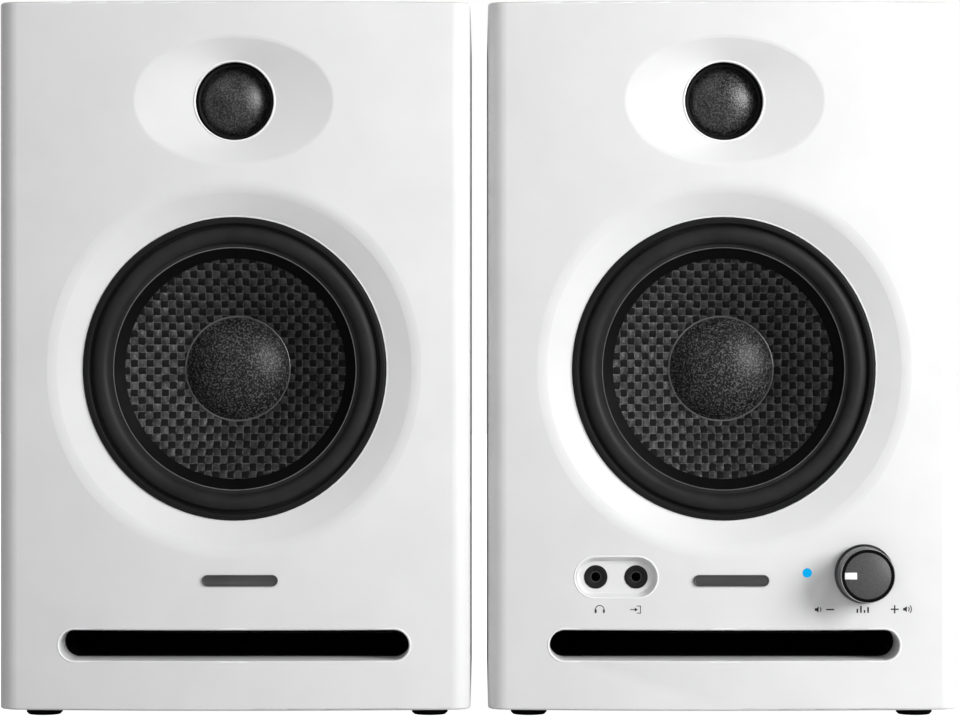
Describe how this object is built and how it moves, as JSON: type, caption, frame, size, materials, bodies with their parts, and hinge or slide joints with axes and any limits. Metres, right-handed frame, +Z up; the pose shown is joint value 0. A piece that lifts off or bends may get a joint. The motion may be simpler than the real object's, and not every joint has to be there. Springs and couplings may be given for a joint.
{
  "type": "pair of desktop speakers",
  "caption": "Two-way bookshelf-style desktop speakers, one powered with a volume knob, jacks and rear controls and one passive.",
  "frame": {"origin": "middle of the pair's bounding box on the surface that the feet stand on", "axes": "+X to the listener's right along the pair, +Y from the fronts to the backs, +Z up"},
  "size_m": [0.3056, 0.202, 0.2275],
  "materials": {
    "white_moulding": "satin white moulding",
    "white_cabinet": "white laminate over board",
    "foot_rubber": "matt",
    "black_plastic": "fine texture",
    "ring_plastic": "satin black",
    "surround_rubber": "satin",
    "woven_cone": "woven and lacquered",
    "dust_cap": "fine grain",
    "copper": "enamelled wire",
    "spider_cloth": "resined cloth",
    "black_steel": "powder coat",
    "plated_steel": "zinc plated",
    "ferrite": "ground ferrite",
    "dome_silk": "coated cloth",
    "red_plastic": "moulded",
    "screw_steel": "blackened",
    "knob_plastic": "satin dark grey",
    "shaft_metal": "turned",
    "circuit_board": "solder mask",
    "blue_lens": "lit lens",
    "rca_metal": "plated",
    "heat_sink_metal": "extruded"
  },
  "bodies": {
    "powered_speaker": {"right_front_baffle": "white_moulding", "right_cabinet": "white_cabinet", "right_feet": "foot_rubber", "right_port_duct": "black_plastic", "right_woofer_trim_ring": "ring_plastic", "right_woofer_surround": "surround_rubber", "right_woofer_spider": "spider_cloth", "right_woofer_basket": "black_steel", "right_woofer_motor_plates": "plated_steel", "right_woofer_magnet": "ferrite", "right_tweeter_flange": "black_plastic", "right_tweeter_surround": "dome_silk", "right_tweeter_motor": "plated_steel", "right_terminal_block": "black_plastic", "right_screws": "screw_steel", "right_volume_encoder": "plated_steel", "right_front_jacks": "black_plastic", "right_control_board": "circuit_board", "right_status_led": "blue_lens", "right_amp_plate": "black_steel", "right_power_inlet": "black_plastic", "right_rca_jacks": "rca_metal", "right_amp_board": "circuit_board", "right_heat_sink": "heat_sink_metal", "right_power_supply": "circuit_board"},
    "passive_speaker": {"left_front_baffle": "white_moulding", "left_cabinet": "white_cabinet", "left_feet": "foot_rubber", "left_port_duct": "black_plastic", "left_woofer_trim_ring": "ring_plastic", "left_woofer_surround": "surround_rubber", "left_woofer_spider": "spider_cloth", "left_woofer_basket": "black_steel", "left_woofer_motor_plates": "plated_steel", "left_woofer_magnet": "ferrite", "left_tweeter_flange": "black_plastic", "left_tweeter_surround": "dome_silk", "left_tweeter_motor": "plated_steel", "left_terminal_block": "black_plastic", "left_screws": "screw_steel", "left_crossover": "circuit_board"},
    "left_woofer_cone": {"left_woofer_cone": "woven_cone", "left_woofer_dust_cap": "dust_cap", "left_woofer_voice_coil": "copper"},
    "left_tweeter_dome": {"left_tweeter_dome": "dome_silk"},
    "left_red_lever": {"left_red_clip": "red_plastic"},
    "left_black_lever": {"left_black_clip": "black_plastic"},
    "right_woofer_cone": {"right_woofer_cone": "woven_cone", "right_woofer_dust_cap": "dust_cap", "right_woofer_voice_coil": "copper"},
    "right_tweeter_dome": {"right_tweeter_dome": "dome_silk"},
    "right_red_lever": {"right_red_clip": "red_plastic"},
    "right_black_lever": {"right_black_clip": "black_plastic"},
    "volume_dial": {"right_encoder_rotor": "black_plastic"},
    "volume_button": {"right_volume_knob": "knob_plastic", "right_volume_shaft": "shaft_metal"},
    "treble_control": {"right_treble_knob": "knob_plastic"},
    "bass_control": {"right_bass_knob": "knob_plastic"},
    "power_rocker": {"right_power_switch": "black_plastic"}
  },
  "joints": [
    {"name": "speaker_spacing", "type": "slide", "parent": "powered_speaker", "child": "passive_speaker", "axis": [-1, 0, 0], "range_m": [0, 0.6]},
    {"name": "left_woofer_stroke", "type": "slide", "parent": "passive_speaker", "child": "left_woofer_cone", "axis": [0, -1, 0], "range_m": [-0.003, 0.003], "stiffness_N_per_m": 1200, "deforming": ["left_woofer_surround", "left_woofer_spider"]},
    {"name": "left_tweeter_stroke", "type": "slide", "parent": "passive_speaker", "child": "left_tweeter_dome", "axis": [0, -1, 0], "range_m": [-0.0003, 0.0003], "stiffness_N_per_m": 1500, "deforming": ["left_tweeter_surround"]},
    {"name": "left_red_press", "type": "hinge", "parent": "passive_speaker", "child": "left_red_lever", "pos_m": [-0.0888, 0.0952, 0.104], "axis": [-1, 0, 0], "range_deg": [0, 20], "stiffness_Nm_per_rad": 0.05, "springref_deg": -11.46},
    {"name": "left_black_press", "type": "hinge", "parent": "passive_speaker", "child": "left_black_lever", "pos_m": [-0.0668, 0.0952, 0.104], "axis": [-1, 0, 0], "range_deg": [0, 20], "stiffness_Nm_per_rad": 0.05, "springref_deg": -11.46},
    {"name": "right_woofer_stroke", "type": "slide", "parent": "powered_speaker", "child": "right_woofer_cone", "axis": [0, -1, 0], "range_m": [-0.003, 0.003], "stiffness_N_per_m": 1200, "deforming": ["right_woofer_surround", "right_woofer_spider"]},
    {"name": "right_tweeter_stroke", "type": "slide", "parent": "powered_speaker", "child": "right_tweeter_dome", "axis": [0, -1, 0], "range_m": [-0.0003, 0.0003], "stiffness_N_per_m": 1500, "deforming": ["right_tweeter_surround"]},
    {"name": "right_red_press", "type": "hinge", "parent": "powered_speaker", "child": "right_red_lever", "pos_m": [0.0668, 0.0952, 0.104], "axis": [-1, 0, 0], "range_deg": [0, 20], "stiffness_Nm_per_rad": 0.05, "springref_deg": -11.46},
    {"name": "right_black_press", "type": "hinge", "parent": "powered_speaker", "child": "right_black_lever", "pos_m": [0.0888, 0.0952, 0.104], "axis": [-1, 0, 0], "range_deg": [0, 20], "stiffness_Nm_per_rad": 0.05, "springref_deg": -11.46},
    {"name": "volume_turn", "type": "hinge", "parent": "powered_speaker", "child": "volume_dial", "pos_m": [0.1218, -0.089, 0.046], "axis": [0, 1, 0], "range_deg": [-60, 240]},
    {"name": "volume_press", "type": "slide", "parent": "volume_dial", "child": "volume_button", "axis": [0, 1, 0], "range_m": [0, 0.0005], "stiffness_N_per_m": 3000, "springref_m": -0.0005},
    {"name": "treble_turn", "type": "hinge", "parent": "powered_speaker", "child": "treble_control", "pos_m": [0.0558, 0.096, 0.186], "axis": [0, -1, 0], "range_deg": [-135, 135]},
    {"name": "bass_turn", "type": "hinge", "parent": "powered_speaker", "child": "bass_control", "pos_m": [0.0998, 0.096, 0.186], "axis": [0, -1, 0], "range_deg": [-135, 135]},
    {"name": "power_rock", "type": "hinge", "parent": "powered_speaker", "child": "power_rocker", "pos_m": [0.0918, 0.09, 0.042], "axis": [0, 0, 1], "range_deg": [0, 18]}
  ]
}
